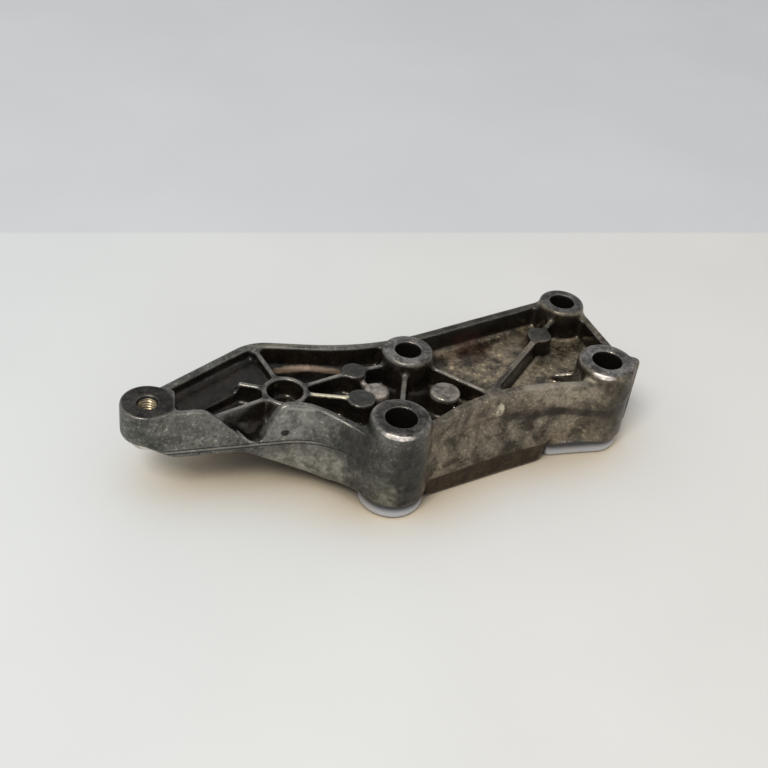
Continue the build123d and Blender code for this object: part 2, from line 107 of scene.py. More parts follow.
CLOUD_TONE = (0.975, 1.015)
TABLE_ROUGHNESS = 0.7
TABLE_GLOSS = 0.25


def node(tree, kind, **settings):
    """A new node of a tree, with its own properties set by name."""
    made = tree.nodes.new(kind)
    for name, value in settings.items():
        setattr(made, name, value)
    return made


def wire(tree, source, target):
    """Feeds an input socket: by a link from an output socket, or with a plain value."""
    if isinstance(source, bpy.types.NodeSocket):
        tree.links.new(source, target)
    else:
        target.default_value = source


def ramp(tree, value, low, high, to_low=0.0, to_high=1.0):
    """A smooth step of a value between two levels, whichever of them is the larger."""
    ends = [(low, to_low), (high, to_high)]
    ends.sort()
    made = node(tree, "ShaderNodeMapRange", interpolation_type="SMOOTHSTEP")
    made.inputs["From Min"].default_value = ends[0][0]
    made.inputs["From Max"].default_value = ends[1][0]
    made.inputs["To Min"].default_value = ends[0][1]
    made.inputs["To Max"].default_value = ends[1][1]
    wire(tree, value, made.inputs["Value"])
    return made.outputs["Result"]


def blend(tree, share, first, second, kind="MIX"):
    """One colour over another by a share, or another kind of mix of the two."""
    made = node(tree, "ShaderNodeMix", data_type="RGBA", blend_type=kind)
    for name, value in (("Factor", share), ("A", first), ("B", second)):
        wire(tree, value, next(s for s in made.inputs if s.name == name and s.enabled))
    return next(s for s in made.outputs if s.enabled)


def sums(tree, operation, first, second):
    """One arithmetic step on two values, either of them a socket or a number."""
    made = node(tree, "ShaderNodeMath", operation=operation)
    wire(tree, first, made.inputs[0])
    wire(tree, second, made.inputs[1])
    return made.outputs["Value"]


def vectors(tree, operation, first, second=None):
    """One step on one or two vectors. Returns its outputs, a vector and a value."""
    made = node(tree, "ShaderNodeVectorMath", operation=operation)
    wire(tree, first, made.inputs[0])
    if second is not None:
        wire(tree, second, made.inputs[1])
    return made.outputs


def noise(tree, place, scale, detail, roughness=0.5, distortion=0.0):
    """Soft noise at a place, as a value from 0 to 1."""
    made = node(tree, "ShaderNodeTexNoise")
    wire(tree, place, made.inputs["Vector"])
    wire(tree, scale, made.inputs["Scale"])
    wire(tree, detail, made.inputs["Detail"])
    wire(tree, roughness, made.inputs["Roughness"])
    wire(tree, distortion, made.inputs["Distortion"])
    return made.outputs["Fac"]


def stage_sheet(name):
    """Flat grid: every point is the edge point plus u times the edge's direction plus v times
    the direction square to it, at height zero."""
    along = np.array([*EDGE_ALONG, 0.0])
    across = np.array([-EDGE_ALONG[1], EDGE_ALONG[0], 0.0])
    steps = np.linspace(-SHEET_REACH, SHEET_REACH, SHEET_STEPS + 1)
    u, v = np.meshgrid(steps, steps)
    points = np.array([*EDGE_POINT, 0.0]) + u[..., None] * along + v[..., None] * across
    index = np.arange(u.size).reshape(u.shape)
    quads = np.stack([index[:-1, :-1], index[:-1, 1:], index[1:, 1:], index[1:, :-1]], axis=-1)
    mesh = bpy.data.meshes.new(name)
    mesh.from_pydata((points.reshape(-1, 3) * MM).tolist(), [], quads.reshape(-1, 4).tolist())
    return bpy.data.objects.new(name, mesh)


def pale_table():
    """Table colour, with a painted shadow that is warm and then dark where the bracket closes it in,
    and faint clouds. Beyond the far edge it changes to the paper's colour."""
    paint = bpy.data.materials.new("pale table and paper")
    paint.use_nodes = True
    tree = paint.node_tree
    shader = tree.nodes["Principled BSDF"]
    shader.inputs["Roughness"].default_value = TABLE_ROUGHNESS
    shader.inputs["Specular IOR Level"].default_value = TABLE_GLOSS
    place = node(tree, "ShaderNodeTexCoord").outputs["Object"]
    across = (-EDGE_ALONG[1], EDGE_ALONG[0], 0.0)
    beyond = vectors(tree, "DOT_PRODUCT", place, across)["Value"]
    edge = -EDGE_ALONG[1] * EDGE_POINT[0] + EDGE_ALONG[0] * EDGE_POINT[1]
    borders = ((edge - EDGE_SOFTNESS) * MM, (edge + EDGE_SOFTNESS) * MM)
    paper = ramp(tree, beyond, *borders)
    near = node(tree, "ShaderNodeAmbientOcclusion", samples=OPENNESS_SAMPLES)
    near.inputs["Distance"].default_value = SHADOW_REACH * MM
    aside = vectors(tree, "DOT_PRODUCT", place, TABLE_TOWARD)["Value"]
    plain = blend(tree, ramp(tree, aside, *TABLE_TURN), TABLE_LEFT, TABLE_RIGHT)
    warm_shadow = blend(tree, ramp(tree, near.outputs["AO"], *WARM_SHADOW_OPENNESS), WARM_SHADOW_COLOUR, plain)
    deep_shadow = blend(tree, ramp(tree, near.outputs["AO"], *UNDER_SHADOW_OPENNESS), UNDER_SHADOW_COLOUR, warm_shadow)
    both = blend(tree, paper, deep_shadow, PAPER_COLOUR)
    cloud = noise(tree, place, CLOUD_SCALE, CLOUD_DETAIL)
    tone = ramp(tree, cloud, *CLOUD_LEVELS, *CLOUD_TONE)
    wire(tree, blend(tree, 1.0, both, tone, "MULTIPLY"), shader.inputs["Base Color"])
    return paint


table = stage_sheet("table")
scene.collection.objects.link(table)
table.data.materials.append(pale_table())

# Bracket casting: one pressure die casting in aluminium alloy, 184 mm long. Every inside corner
# keeps the die's radius and every outside edge is soft. Its bosses and feet are machined.
GRAIN_SIZE = 0.45
CORNER_FILL = 1.0
MERGE_REACH = 0.001
MOST_TRIANGLES = 190000
SMOOTH_SHARE = 0.5
PAD = (4.6, 22.6, 25.4)
PAD_REACH = 6.5
PAD_RISE = 3.0
PAD_LEVEL = 0.8


def read_points(mesh):
    """Every point of a mesh as rows of x, y and z."""
    flat = np.empty(len(mesh.vertices) * 3, np.float32)
    mesh.vertices.foreach_get("co", flat)
    return flat.reshape(-1, 3).astype(float)


def write_points(mesh, points):
    """Puts rows of x, y and z back into a mesh."""
    mesh.vertices.foreach_set("co", points.astype(np.float32).ravel())
    mesh.update()


def relaxed(mesh, steps):
    """Each point moves a share of the way to the mean of its neighbours, a number of times."""
    points = read_points(mesh)
    ends = np.empty(len(mesh.edges) * 2, np.int32)
    mesh.edges.foreach_get("vertices", ends)
    one, two = ends.reshape(-1, 2).T
    count = np.bincount(ends, minlength=len(points))[:, None]
    for _ in range(steps):
        total = [np.bincount(one, points[two, axis], len(points))
                 + np.bincount(two, points[one, axis], len(points)) for axis in range(3)]
        points += SMOOTH_SHARE * (np.stack(total, axis=1) / count - points)
    write_points(mesh, points)


def moved_out(mesh, distance):
    """Each point moves along its own normal by a distance."""
    normals = np.empty(len(mesh.vertices) * 3, np.float32)
    mesh.vertex_normals.foreach_get("vector", normals)
    write_points(mesh, read_points(mesh) + normals.reshape(-1, 3) * distance)


def raised_pad(mesh):
    """The flat top of the low pad moves up: a point nearer to the pad's middle than its reach,
    and level with its top to less than a millimetre, gains the rise in height."""
    points = read_points(mesh)
    near = np.hypot(points[:, 0] - PAD[0] * MM, points[:, 1] - PAD[1] * MM) < PAD_REACH * MM
    level = np.abs(points[:, 2] - PAD[2] * MM) < PAD_LEVEL * MM
    points[:, 2] += np.where(level & near, PAD_RISE * MM, 0.0)
    write_points(mesh, points)


def with_modifier(piece, kind, **settings):
    """Gives a piece the mesh that one modifier makes of it."""
    added = piece.modifiers.new("work", kind)
    for name, value in settings.items():
        setattr(added, name, value)
    graph = bpy.context.evaluated_depsgraph_get()
    mesh = bpy.data.meshes.new_from_object(piece.evaluated_get(graph))
    piece.modifiers.clear()
    piece.data = mesh


def cast_copy(name, solid):
    """The solid's mesh, merged and divided evenly. It grows outward, is joined where it meets
    itself, and shrinks back by as much, so inside corners are left with a radius and the
    rest is where it was. Then edges are relaxed and flat places get fewer triangles."""
    piece = bpy.data.objects.new(name, solid.data.copy())
    scene.collection.objects.link(piece)
    merged = bmesh.new()
    merged.from_mesh(piece.data)
    bmesh.ops.remove_doubles(merged, verts=merged.verts, dist=MERGE_REACH * MM)
    merged.to_mesh(piece.data)
    merged.free()
    grain = GRAIN_SIZE * MM
    with_modifier(piece, "REMESH", mode="VOXEL", voxel_size=grain)
    raised_pad(piece.data)
    relaxed(piece.data, 2)
    moved_out(piece.data, CORNER_FILL * MM)
    with_modifier(piece, "REMESH", mode="VOXEL", voxel_size=grain)
    relaxed(piece.data, 1)
    moved_out(piece.data, -CORNER_FILL * MM)
    with_modifier(piece, "REMESH", mode="VOXEL", voxel_size=grain)
    relaxed(piece.data, 2)
    triangles = 2 * len(piece.data.polygons)
    with_modifier(piece, "DECIMATE", ratio=min(1.0, MOST_TRIANGLES / triangles))
    piece.data.shade_smooth()
    return piece


def shader_group(name, takes, gives):
    """A shader node group with named sockets. Returns its tree, its inputs and its outputs."""
    tree = bpy.data.node_groups.new(name, "ShaderNodeTree")
    for way, sockets in (("INPUT", takes), ("OUTPUT", gives)):
        for title, kind in sockets.items():
            tree.interface.new_socket(title, in_out=way, socket_type="NodeSocket" + kind)
    return tree, node(tree, "NodeGroupInput").outputs, node(tree, "NodeGroupOutput").inputs


def use_group(tree, group, **values):
    """One use of a group. Underscores in a name stand for spaces."""
    made = node(tree, "ShaderNodeGroup", node_tree=group)
    for name, value in values.items():
        wire(tree, value, made.inputs[name.replace("_", " ")])
    return made.outputs


BORDER_ENDS = (-0.5, 0.5)


def near_axis_group():
    """Mask of what lies nearer than a radius to an upright axis, with a soft border."""
    tree, takes, gives = shader_group(
        "near an axis", {"Place": "Vector", "Axis": "Vector", "Radius": "Float", "Border": "Float"},
        {"Mask": "Float"})
    flat = vectors(tree, "MULTIPLY", takes["Place"], (1, 1, 0))["Vector"]
    far = vectors(tree, "DISTANCE", flat, takes["Axis"])["Value"]
    over = sums(tree, "SUBTRACT", takes["Radius"], far)
    wire(tree, ramp(tree, sums(tree, "DIVIDE", over, takes["Border"]), *BORDER_ENDS), gives["Mask"])
    return tree


RAGGED_DETAIL = 4.0


def blot_group():
    """Mask of a ragged oval mark: nearer than a radius to a place, with a wandering border."""
    tree, takes, gives = shader_group(
        "ragged mark", {"Place": "Vector", "Middle": "Vector", "Stretch": "Vector", "Radius": "Float",
                        "Border": "Float", "Raggedness": "Float", "Fineness": "Float"},
        {"Mask": "Float"})
    away = vectors(tree, "SUBTRACT", takes["Place"], takes["Middle"])["Vector"]
    shaped = vectors(tree, "DIVIDE", away, takes["Stretch"])["Vector"]
    length = vectors(tree, "LENGTH", shaped)["Value"]
    ragged = noise(tree, takes["Place"], takes["Fineness"], RAGGED_DETAIL)
    share = sums(tree, "DIVIDE", length, takes["Radius"])
    swing = sums(tree, "SUBTRACT", ragged, 0.5)
    wander = sums(tree, "MULTIPLY", swing, takes["Raggedness"])
    over = sums(tree, "SUBTRACT", 1.0, sums(tree, "ADD", share, wander))
    wire(tree, ramp(tree, sums(tree, "DIVIDE", over, takes["Border"]), *BORDER_ENDS), gives["Mask"])
    return tree


STREAK_FINENESS = 600.0
STREAK_DETAIL = 3.0
STREAK_FADE = (2.1, 0.9)


def streak_group():
    """Mask of a streak: nearer than a radius to the line between two places. The share of the
    radius plus a fine noise decides how strong it is."""
    tree, takes, gives = shader_group(
        "streak", {"Place": "Vector", "Start": "Vector", "Finish": "Vector", "Radius": "Float"},
        {"Mask": "Float"})
    reach = vectors(tree, "SUBTRACT", takes["Finish"], takes["Start"])["Vector"]
    away = vectors(tree, "SUBTRACT", takes["Place"], takes["Start"])["Vector"]
    share = node(tree, "ShaderNodeMath", operation="DIVIDE", use_clamp=True)
    wire(tree, vectors(tree, "DOT_PRODUCT", away, reach)["Value"], share.inputs[0])
    wire(tree, vectors(tree, "DOT_PRODUCT", reach, reach)["Value"], share.inputs[1])
    foot = node(tree, "ShaderNodeVectorMath", operation="SCALE")
    wire(tree, reach, foot.inputs[0])
    wire(tree, share.outputs["Value"], foot.inputs["Scale"])
    far = vectors(tree, "DISTANCE", away, foot.outputs["Vector"])["Value"]
    ragged = noise(tree, takes["Place"], STREAK_FINENESS, STREAK_DETAIL)
    wander = sums(tree, "ADD", sums(tree, "DIVIDE", far, takes["Radius"]), ragged)
    wire(tree, ramp(tree, wander, *STREAK_FADE), gives["Mask"])
    return tree


PATCH_NOISE = (6.0, 0.62, 0.4)
PATCH_LEVELS = (0.34, 0.66)
SPECK_NOISE = (3.0, 0.7)
PALE_SPECK_LEVELS = (0.54, 0.70)
DARK_SPECK_LEVELS = (0.46, 0.30)
PALE_SPECK_GAIN = (3.0, 2.85, 2.6, 1)
DARK_SPECK_GAIN = (0.22, 0.21, 0.19, 1)


def mottle_group():
    """Two tones of one skin in soft patches, with fine pale and dark specks."""
    tree, takes, gives = shader_group(
        "mottled skin", {"Place": "Vector", "Light Tone": "Color", "Dark Tone": "Color",
                         "Patch Scale": "Float", "Speck Scale": "Float", "Speck Strength": "Float"},
        {"Color": "Color"})
    patch = noise(tree, takes["Place"], takes["Patch Scale"], *PATCH_NOISE)
    tone = blend(tree, ramp(tree, patch, *PATCH_LEVELS), takes["Dark Tone"], takes["Light Tone"])
    speck = noise(tree, takes["Place"], takes["Speck Scale"], *SPECK_NOISE)
    strength = takes["Speck Strength"]
    pale = sums(tree, "MULTIPLY", ramp(tree, speck, *PALE_SPECK_LEVELS), strength)
    dark = sums(tree, "MULTIPLY", ramp(tree, speck, *DARK_SPECK_LEVELS), strength)
    lighter = blend(tree, pale, tone, blend(tree, 1.0, tone, PALE_SPECK_GAIN, "MULTIPLY"))
    darker = blend(tree, dark, lighter, blend(tree, 1.0, tone, DARK_SPECK_GAIN, "MULTIPLY"))
    wire(tree, darker, gives["Color"])
    return tree


WAVE_NOISE = (160.0, 2.0)
WAVE_HEIGHT = 1.4
SAND_NOISE = (1500.0, 3.0)
SAND_HEIGHT = 0.5
PIT_SCALE = 420.0
PIT_BORDER = (0.02, 0.2)
PIT_DEPTH = 0.6


def grain_group():
    """Height of the cast skin: shallow waves plus a sandy grain, less scattered pits."""
    tree, takes, gives = shader_group("cast grain", {"Place": "Vector"}, {"Height": "Float"})
    wave = sums(tree, "MULTIPLY", noise(tree, takes["Place"], *WAVE_NOISE), WAVE_HEIGHT)
    sand = sums(tree, "MULTIPLY", noise(tree, takes["Place"], *SAND_NOISE), SAND_HEIGHT)
    pit = node(tree, "ShaderNodeTexVoronoi")
    pit.inputs["Scale"].default_value = PIT_SCALE
    wire(tree, takes["Place"], pit.inputs["Vector"])
    pits = ramp(tree, pit.outputs["Distance"], *PIT_BORDER, 1.0, 0.0)
    hole = sums(tree, "MULTIPLY", pits, PIT_DEPTH)
    wire(tree, sums(tree, "SUBTRACT", sums(tree, "ADD", wave, sand), hole), gives["Height"])
    return tree


near_axis = near_axis_group()
blot = blot_group()
streak = streak_group()
mottle = mottle_group()
grain_height = grain_group()


def tones(tree, place, light, dark, patches, specks, strength):
    """Mottled skin of two tones."""
    return use_group(tree, mottle, Place=place, Light_Tone=light, Dark_Tone=dark,
                     Patch_Scale=patches, Speck_Scale=specks, Speck_Strength=strength)["Color"]


LARGE_HOLES = ((0.0, 0.0), (85.96, 0.0))
SMALL_HOLES = ((21.4, 31.5), (93.5, 37.25))
ARM_HOLE = (-71.95, 37.25)
RING = (-26.0, 31.6)
DISCS = ((1.2, 33.2), (-4.0, 18.7), (24.8, 11.2), (76.8, 27.5))

# Skins: light tone, dark tone, patch scale, speck scale and speck strength.
GREY_SKIN = ((0.175, 0.172, 0.152, 1), (0.060, 0.060, 0.053, 1), 95.0, 850.0, 0.75)
BROWN_SKIN = ((0.245, 0.208, 0.155, 1), (0.050, 0.040, 0.029, 1), 120.0, 950.0, 0.6)
SILL_SKIN = ((0.060, 0.043, 0.027, 1), (0.028, 0.020, 0.013, 1), 140.0, 900.0, 0.4)
# oil in the hollows, also standing in for their shade
OIL_AND_SHADE_SKIN = ((0.024, 0.017, 0.011, 1), (0.0050, 0.0042, 0.0034, 1), 110.0, 700.0, 0.5)
OLIVE_SKIN = ((0.300, 0.240, 0.160, 1), (0.030, 0.023, 0.015, 1), 150.0, 800.0, 0.9)
RIB_SKIN = ((0.060, 0.057, 0.051, 1), (0.026, 0.025, 0.022, 1), 260.0, 1100.0, 0.6)
MACHINED_SKIN = ((0.290, 0.270, 0.250, 1), (0.070, 0.065, 0.060, 1), 240.0, 1200.0, 0.6)
# The flecks multiply the colour of a mark.
FLECKS = ((1.35, 1.35, 1.35, 1), (0.45, 0.45, 0.45, 1), 330.0, 1000.0, 0.35)
SEATED_SHADE = (0.42, 0.41, 0.40, 1)
FOOT_BRIGHT_REFLECTION = (0.62, 0.66, 0.74, 1)
FOOT_PAINTED_SHADE = (0.060, 0.062, 0.072, 1)
HOLE_DIRT = (0.018, 0.015, 0.013, 1)
SPOT_DIRT = (0.018, 0.017, 0.015, 1)
BAND_SHADE = (0.030, 0.024, 0.018, 1)
RIM_DIRT = (0.030, 0.029, 0.026, 1)
WORN_EDGE_HIGHLIGHT = (0.74, 0.68, 0.60, 1)
BARE_EDGE_HIGHLIGHT = (0.950, 0.860, 0.790, 1)
BRONZE_OIL_REFLECTION = (0.560, 0.400, 0.280, 1)
RIM_GLINT = (0.420, 0.370, 0.270, 1)

# Marks of use and of painted shade and highlights: middle in mm, stretch, radius in mm, border,
# raggedness, fineness, colour and strength.
MARKS = (
    # painted shade: soft dark patches in the corner beside the near boss, on its front and on the
    # right boss's front
    ((-12.0, 3.0, 21.0), (1.0, 1.0, 1.5), 8.5, 1.7, 1.2, 240.0, (0.030, 0.029, 0.025, 1), 0.8),
    ((-1.0, -11.0, 16.0), (1.0, 1.0, 1.9), 8.5, 0.9, 1.0, 260.0, (0.034, 0.032, 0.026, 1), 0.88),
    ((90.0, -9.0, 19.0), (1.3, 1.0, 1.3), 9.0, 0.9, 1.0, 260.0, (0.060, 0.048, 0.036, 1), 0.85),
    # pale worn skin on the hump, under the parting line and low on the near boss
    ((-31.0, 18.0, 26.5), (1.3, 1.0, 0.7), 8.0, 0.8, 1.2, 300.0, (0.290, 0.285, 0.260, 1), 0.5),
    ((-25.0, 13.0, 12.0), (1.6, 1.2, 0.7), 9.0, 1.3, 1.2, 300.0, (0.330, 0.320, 0.280, 1), 0.65),
    ((-7.0, -7.5, 10.0), (1.0, 1.0, 1.3), 4.0, 1.0, 1.9, 500.0, (0.240, 0.230, 0.180, 1), 0.5),
    # pale speckled skin on the right half of the near right wall
    ((68.0, -1.0, 27.0), (1.6, 1.0, 0.5), 9.0, 0.8, 1.6, 420.0, (0.380, 0.330, 0.250, 1), 0.5),
    # dimples and dark spots
    ((-32.0, 18.5, 23.9), (1.3, 1.3, 1.0), 1.1, 0.5, 0.5, 900.0, SPOT_DIRT, 0.9),
    ((-14.5, 7.0, 25.5), (1.0, 1.0, 1.0), 1.1, 0.7, 0.8, 900.0, SPOT_DIRT, 0.8),
    ((-22.0, 9.0, 8.5), (1.0, 1.0, 1.0), 1.5, 0.8, 1.2, 900.0, (0.022, 0.021, 0.018, 1), 0.8),
    # stains on the floor of the right pocket
    ((53.0, 37.0, 23.0), (1.0, 1.0, 1.0), 7.0, 1.0, 1.6, 260.0, (0.060, 0.024, 0.015, 1), 0.65),
    ((72.8, 32.3, 23.0), (1.3, 1.0, 1.0), 5.0, 0.8, 2.0, 500.0, (0.260, 0.215, 0.150, 1), 0.6),
    # painted highlights, as bare metal, on the edges of the near bosses' faces, on the side of the
    # arm
    ((-6.5, -8.0, 34.0), (6.0, 5.0, 0.9), 1.0, 0.5, 0.6, 500.0, BARE_EDGE_HIGHLIGHT, 0.85),
    ((79.5, -6.5, 34.0), (4.0, 4.0, 0.9), 1.0, 0.5, 0.6, 500.0, BARE_EDGE_HIGHLIGHT, 0.7),
    # bright crust on the low pad, and a painted glint on the floor of the ring
    ((4.6, 22.6, 28.2), (1.0, 1.0, 0.5), 6.5, 0.3, 0.8, 420.0, (0.420, 0.370, 0.320, 1), 0.85),
    ((-24.0, 30.5, 23.5), (1.5, 1.0, 1.0), 2.2, 0.6, 0.8, 500.0, (0.560, 0.430, 0.310, 1), 0.8),
    # dull bare top of the disc at the near right wall
    ((24.8, 11.2, 29.6), (1.0, 1.0, 0.4), 5.6, 0.2, 0.3, 420.0, (0.300, 0.265, 0.225, 1), 0.8),
    # cream spot on the near right wall
    ((41.4, 0.4, 24.8), (0.75, 3.0, 1.25), 2.2, 0.35, 0.6, 900.0, (0.520, 0.470, 0.360, 1), 0.9))

# Streaks, bare or dirty, and painted highlights, reflections and shade: start and end in mm, radius
# in mm, colour and strength.
STREAKS = (
    # painted reflection on the oily foot of the far wall behind the ring, and painted glints on the
    # ribs on both sides of the ring
    ((-19.5, 50.8, 23.3), (-9.1, 47.9, 23.4), 1.2, BRONZE_OIL_REFLECTION, 0.55),
    ((-9.1, 47.9, 23.4), (0.5, 42.2, 23.3), 1.1, BRONZE_OIL_REFLECTION, 0.5),
    ((-18.0, 26.6, 30.3), (-8.5, 21.0, 30.3), 0.8, (0.780, 0.700, 0.500, 1), 0.75),
    ((-47.0, 24.8, 29.6), (-40.5, 27.5, 30.2), 0.9, (0.700, 0.650, 0.480, 1), 0.75),
    # painted highlights along the edge of the near left wall: from the hump to the boss, in the
    # notch, by the arm's boss and on the hump
    ((-22.5, 12.6, 31.2), (-12.6, 1.2, 30.8), 0.9, (0.950, 0.900, 0.840, 1), 0.9),
    ((-46.0, 24.0, 24.3), (-41.8, 20.0, 21.6), 0.8, (0.900, 0.880, 0.820, 1), 0.8),
    ((-62.0, 28.2, 34.2), (-55.8, 27.8, 33.4), 0.5, (0.460, 0.450, 0.410, 1), 0.35),
    ((-31.5, 19.7, 33.1), (-23.5, 16.2, 32.4), 0.6, (0.500, 0.485, 0.440, 1), 0.4),
    # rim of the far wall: a painted glint beside the ring, dark along the right pocket
    ((-27.0, 57.9, 31.0), (-11.6, 52.6, 31.0), 0.8, RIM_GLINT, 0.3),
    ((-11.6, 52.6, 31.0), (7.0, 45.1, 31.0), 0.8, RIM_GLINT, 0.25),
    ((26.0, 41.0, 31.0), (60.4, 43.2, 31.0), 3.6, RIM_DIRT, 0.7),
    ((60.4, 43.2, 31.0), (84.0, 44.0, 31.0), 3.6, RIM_DIRT, 0.7),
    # brushed rim of the near right wall with a painted highlight, and painted shade in the hollow
    # under its band
    ((52.0, 1.4, 31.0), (75.0, -3.6, 31.0), 1.3, (0.520, 0.450, 0.350, 1), 0.4),
    ((45.0, 0.7, 20.1), (57.1, -1.5, 19.5), 1.5, BAND_SHADE, 0.75),
    ((57.1, -1.5, 19.5), (66.3, -3.6, 20.3), 1.5, BAND_SHADE, 0.8),
    ((66.3, -3.6, 20.3), (75.9, -6.5, 18.5), 1.5, BAND_SHADE, 0.8),
    ((75.9, -6.5, 18.5), (83.6, -10.3, 18.3), 1.6, BAND_SHADE, 0.7))


UPWARD = (0.45, 0.85)
LEVEL_BORDER = 0.12


class SkinTree:
    """The casting's node tree, with its coordinates and the masks that lie in them."""

    def __init__(self, tree):
        """Reads the place on the piece and how far its face looks up."""
        self.tree = tree
        self.place = node(tree, "ShaderNodeTexCoord").outputs["Object"]
        split = node(tree, "ShaderNodeSeparateXYZ")
        wire(tree, self.place, split.inputs["Vector"])
        self.x, self.y, self.z = split.outputs
        facing = node(tree, "ShaderNodeSeparateXYZ")
        wire(tree, node(tree, "ShaderNodeNewGeometry").outputs["Normal"], facing.inputs["Vector"])
        self.upward = ramp(tree, facing.outputs["Z"], *UPWARD)

    def both(self, first, second):
        """Where both masks are."""
        return sums(self.tree, "MULTIPLY", first, second)

    def either(self, first, second):
        """Where either mask is."""
        return sums(self.tree, "MAXIMUM", first, second)

    def outside(self, mask):
        """Where a mask isn't."""
        return sums(self.tree, "SUBTRACT", 1.0, mask)

    def below(self, value, level, soft):
        """Where a coordinate is under a level, with a soft border, in millimetres."""
        return ramp(self.tree, value, (level + soft) * MM, (level - soft) * MM)

    def between(self, low, high):
        """Where the height is between two levels, in millimetres."""
        under_high = self.below(self.z, high, LEVEL_BORDER)
        return sums(self.tree, "SUBTRACT", under_high, self.below(self.z, low, LEVEL_BORDER))

    def leaning(self, lean):
        """The x coordinate less a share of y: a line that leans over the part."""
        return sums(self.tree, "SUBTRACT", self.x, sums(self.tree, "MULTIPLY", self.y, lean))

    def axes(self, places, radius, border):
        """Where the upright axis at any of the places is nearer than a radius, in millimetres."""
        found = None
        for x, y in places:
            one = use_group(self.tree, near_axis, Place=self.place, Axis=(x * MM, y * MM, 0),
                            Radius=radius * MM, Border=border * MM)["Mask"]
            found = one if found is None else self.either(found, one)
        return found

    def tones(self, look):
        """Mottled skin of a named look."""
        return tones(self.tree, self.place, *look)

    def cover(self, colour, mask, strength, tint):
        """A colour with a tint over it, where a mask is."""
        return blend(self.tree, sums(self.tree, "MULTIPLY", mask, strength), colour, tint)

    def openness(self, reach, samples, inside=False):
        """How open the surface is, seen over a reach in millimetres: out from it, or into it."""
        made = node(self.tree, "ShaderNodeAmbientOcclusion", samples=samples, inside=inside,
                    only_local=True)
        made.inputs["Distance"].default_value = reach * MM
        return made.outputs["AO"]


# From here most pairs are a level or a reach with the softness of its border, in millimetres.
# Those of edges, lines, openness, patches and roughness are the two ends of a range.
SKIN_CHANGE = (8.5, 2.5)
SKIN_CHANGE_LEAN = 0.4
SKIN_CHANGE_SPREAD = 0.6
SILL_TOP = (7.7, 0.5)
SILL_END = (63.0, 3.0)


def cast_tones(skin):
    """Cast skin: greenish grey on the left, brown on the right and dark brown on the sill. Grey
    and brown meet beside the near left boss, and shade into each other toward the far wall."""
    tree = skin.tree
    change, softness = SKIN_CHANGE
    lean = sums(tree, "SUBTRACT", skin.leaning(SKIN_CHANGE_LEAN), change * MM)
    behind = sums(tree, "MULTIPLY", sums(tree, "MAXIMUM", skin.y, 0.0), SKIN_CHANGE_SPREAD)
    spread = sums(tree, "ADD", behind, softness * MM)
    side = ramp(tree, sums(tree, "DIVIDE", lean, spread), -1.0, 1.0)
    colour = blend(tree, side, skin.tones(GREY_SKIN), skin.tones(BROWN_SKIN))
    under_sill = skin.below(skin.z, *SILL_TOP)
    sill = skin.both(under_sill, skin.both(side, skin.below(skin.x, *SILL_END)))
    return blend(tree, sill, colour, skin.tones(SILL_SKIN))


HOLLOW_DISTANCE = 26.0
HOLLOW_SAMPLES = 12
HOLLOW_OPENNESS = (0.90, 0.60)
FLOOR_LOW = (19.5, 0.5)
FLOOR_HIGH = (28.9, 0.4)
POCKET_LEAN = 0.35
POCKET_EDGES = (22.0, 30.0)
GRIME_AND_SHADE_STRENGTH = 0.97


def tray_dirt_and_shade(skin, colour):
    """Oil and dirt, darkened further as painted shade, where the casting shades itself, and oil on
    the floor of the tray. The right pocket's floor is a drier olive brown. Returns the colour and the
    mask of the dirt and shade."""
    tree = skin.tree
    # painted shade with oil: darker where the casting closes itself in
    hollow_shade = ramp(tree, skin.openness(HOLLOW_DISTANCE, HOLLOW_SAMPLES), *HOLLOW_OPENNESS)
    under_ribs = skin.below(skin.z, *FLOOR_HIGH)
    over_floor = skin.outside(skin.below(skin.z, *FLOOR_LOW))
    inner_floor = skin.both(skin.upward, skin.both(under_ribs, over_floor))
    grime_and_shade = skin.either(hollow_shade, inner_floor)
    edges = [edge * MM for edge in POCKET_EDGES]
    right_pocket = skin.both(inner_floor, ramp(tree, skin.leaning(POCKET_LEAN), *edges))
    dirt_and_shade = blend(tree, right_pocket, skin.tones(OIL_AND_SHADE_SKIN), skin.tones(OLIVE_SKIN))
    return skin.cover(colour, grime_and_shade, GRIME_AND_SHADE_STRENGTH, dirt_and_shade), grime_and_shade


RIB_TOP = (31.5, 0.5)
RING_REACH = (10.5, 2.0)
DISC_REACH = (6.5, 1.0)
RIB_STRENGTH = 0.85


def rib_tops(skin, colour):
    """Smooth dark grey on the tops of the ring, of the ribs round it and of the discs."""
    ring = skin.both(skin.axes((RING,), *RING_REACH), skin.below(skin.z, *RIB_TOP))
    discs = skin.both(skin.upward, skin.axes(DISCS, *DISC_REACH))
    tops = skin.either(skin.both(skin.upward, ring), discs)
    tops = skin.both(tops, skin.outside(skin.below(skin.z, *FLOOR_HIGH)))
    return skin.cover(colour, tops, RIB_STRENGTH, skin.tones(RIB_SKIN))


def marks_and_streaks(skin, colour):
    """The single marks, flecked like the skin, and then the streaks: marks of use, and painted shade,
    highlights and reflections.
    """
    tree = skin.tree
    flecks = skin.tones(FLECKS)
    for middle, stretch, radius, border, ragged, fine, tint, strength in MARKS:
        mask = use_group(tree, blot, Place=skin.place, Middle=[value * MM for value in middle],
                         Stretch=stretch, Radius=radius * MM, Border=border, Raggedness=ragged,
                         Fineness=fine)["Mask"]
        colour = skin.cover(colour, mask, strength, blend(tree, 1.0, flecks, tint, "MULTIPLY"))
    for start, finish, radius, tint, strength in STREAKS:
        mask = use_group(tree, streak, Place=skin.place, Start=[value * MM for value in start],
                         Finish=[value * MM for value in finish], Radius=radius * MM)["Mask"]
        colour = skin.cover(colour, mask, strength, tint)
    return colour


